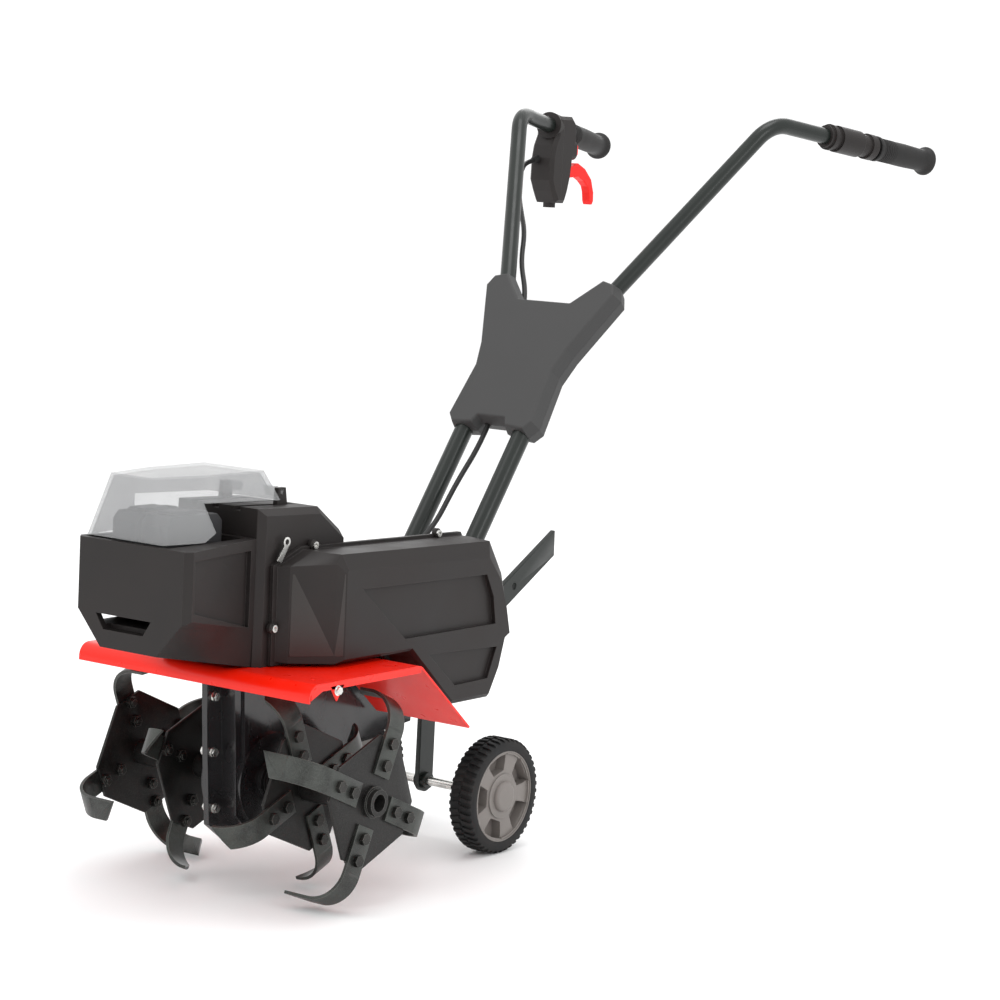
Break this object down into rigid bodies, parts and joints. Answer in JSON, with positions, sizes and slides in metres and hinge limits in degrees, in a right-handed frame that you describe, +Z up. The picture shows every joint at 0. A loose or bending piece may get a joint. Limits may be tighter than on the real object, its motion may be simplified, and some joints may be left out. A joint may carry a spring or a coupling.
{
  "type": "garden tiller",
  "caption": "Walk-behind battery tiller with curved blade tines, chain case, belt drive, red deck, lidded battery box, rear wheels, drag stake and splayed handles.",
  "frame": {"origin": "middle of the bounding box in X and Y, on the ground under the wheels", "axes": "+Z up, -Y the direction of travel with the tines in front, +Y towards the handles, +X the side of the belt cover"},
  "size_m": [0.6064, 1.326, 0.965],
  "materials": {
    "deck_red": "gloss orange-red enamel",
    "tube_paint": "satin black-green powder coat",
    "case_black": "gloss black paint",
    "black_plastic": "fine grained brown-black",
    "joint_grey": "satin dark grey",
    "lid_smoke": "clear, lightly smoked",
    "battery_plastic": "matte",
    "red_plastic": "satin orange-red",
    "tine_steel": "dark hardened steel",
    "blade_steel": "ground, lightly oiled",
    "zinc": "zinc plated",
    "shaft_steel": "ground",
    "tyre_rubber": "matte black",
    "rim_grey": "satin warm grey",
    "grip_rubber": "soft matte",
    "belt_rubber": "matte",
    "cable_rubber": "satin",
    "motor_metal": "cast"
  },
  "bodies": {
    "chassis": {"deck": "deck_red", "frame_bolts": "zinc", "gearbox_bearings": "shaft_steel", "gearbox_left": "case_black", "gearbox_right": "case_black", "output_seals": "belt_rubber", "drive_belt": "belt_rubber", "drive_chain": "shaft_steel", "motor_stator": "motor_metal", "battery_box": "black_plastic", "motor_housing": "black_plastic", "belt_back_plate": "black_plastic", "belt_cover": "black_plastic", "cover_screws": "zinc", "rear_bracket": "tube_paint", "pivot_pins": "zinc", "lower_tube_left": "tube_paint", "lower_tube_right": "tube_paint", "upper_tube_left": "tube_paint", "upper_tube_right": "tube_paint", "handle_bolts": "zinc", "joint_cover_front": "joint_grey", "joint_cover_rear": "joint_grey", "grip_left": "grip_rubber", "grip_right": "grip_rubber", "handle_sleeve": "black_plastic", "switch_housing_front": "black_plastic", "switch_housing_rear": "black_plastic", "ring_lug": "zinc", "switch_cable": "cable_rubber"},
    "tines": {"tine_shaft": "shaft_steel", "tine_tube_left": "tine_steel", "tine_tube_right": "tine_steel", "tine_plate_outer_left": "tine_steel", "tine_plate_inner_left": "tine_steel", "tine_plate_outer_right": "tine_steel", "tine_plate_inner_right": "tine_steel", "tine_blades_outer_left": "blade_steel", "tine_blades_inner_left": "blade_steel", "tine_blades_outer_right": "blade_steel", "tine_blades_inner_right": "blade_steel", "tine_bolts": "zinc", "tine_sprocket": "shaft_steel"},
    "input": {"input_shaft": "shaft_steel", "input_pulley": "motor_metal"},
    "motor": {"motor_rotor": "shaft_steel", "motor_pulley": "motor_metal"},
    "wheel_bracket": {"wheel_post": "tube_paint", "wheel_axle": "zinc"},
    "wheel_left": {"tyre_left": "tyre_rubber", "rim_left": "rim_grey"},
    "wheel_right": {"tyre_right": "tyre_rubber", "rim_right": "rim_grey"},
    "stake": {"drag_stake": "tube_paint"},
    "lid": {"lid": "lid_smoke"},
    "pack_left": {"battery_left": "battery_plastic"},
    "pack_right": {"battery_right": "battery_plastic"},
    "trigger": {"trigger": "red_plastic"},
    "lock_button": {"lock_button": "red_plastic"}
  },
  "joints": [
    {"name": "tine_spin", "type": "hinge", "parent": "chassis", "child": "tines", "pos_m": [0, -0.435, 0.132], "axis": [1, 0, 0], "continuous": true},
    {"name": "input_spin", "type": "hinge", "parent": "chassis", "child": "input", "pos_m": [0, -0.193, 0.306], "axis": [1, 0, 0], "continuous": true},
    {"name": "motor_spin", "type": "hinge", "parent": "chassis", "child": "motor", "pos_m": [0, -0.425, 0.393], "axis": [1, 0, 0], "continuous": true},
    {"name": "wheel_swing", "type": "hinge", "parent": "chassis", "child": "wheel_bracket", "pos_m": [0, -0.085, 0.24], "axis": [1, 0, 0], "range_deg": [0, 65]},
    {"name": "wheel_left_spin", "type": "hinge", "parent": "wheel_bracket", "child": "wheel_left", "pos_m": [0.111, -0.085, 0.075], "axis": [1, 0, 0], "continuous": true},
    {"name": "wheel_right_spin", "type": "hinge", "parent": "wheel_bracket", "child": "wheel_right", "pos_m": [-0.111, -0.085, 0.075], "axis": [1, 0, 0], "continuous": true},
    {"name": "stake_swing", "type": "hinge", "parent": "chassis", "child": "stake", "pos_m": [0, -0.048, 0.25], "axis": [-1, 0, 0], "range_deg": [0, 119]},
    {"name": "lid_hinge", "type": "hinge", "parent": "chassis", "child": "lid", "pos_m": [0, -0.438, 0.484], "axis": [-1, 0, 0], "range_deg": [0, 100]},
    {"name": "pack_left_lift", "type": "slide", "parent": "chassis", "child": "pack_left", "axis": [0, 0, 1], "range_m": [0, 0.02]},
    {"name": "pack_right_lift", "type": "slide", "parent": "chassis", "child": "pack_right", "axis": [0, 0, 1], "range_m": [0, 0.02]},
    {"name": "trigger_pull", "type": "hinge", "parent": "chassis", "child": "trigger", "pos_m": [-0.234, 0.48, 0.872], "axis": [1, 0, 0], "range_deg": [0, 12], "stiffness_Nm_per_rad": 0.5, "springref_deg": -6.88},
    {"name": "lock_press", "type": "slide", "parent": "chassis", "child": "lock_button", "axis": [0, -1, 0], "range_m": [0, 0.005], "stiffness_N_per_m": 400, "springref_m": -0.002}
  ],
  "couplings": [
    {"joint": "input_spin", "follows": "tine_spin", "ratio": 2.5},
    {"joint": "motor_spin", "follows": "tine_spin", "ratio": 6.875}
  ]
}
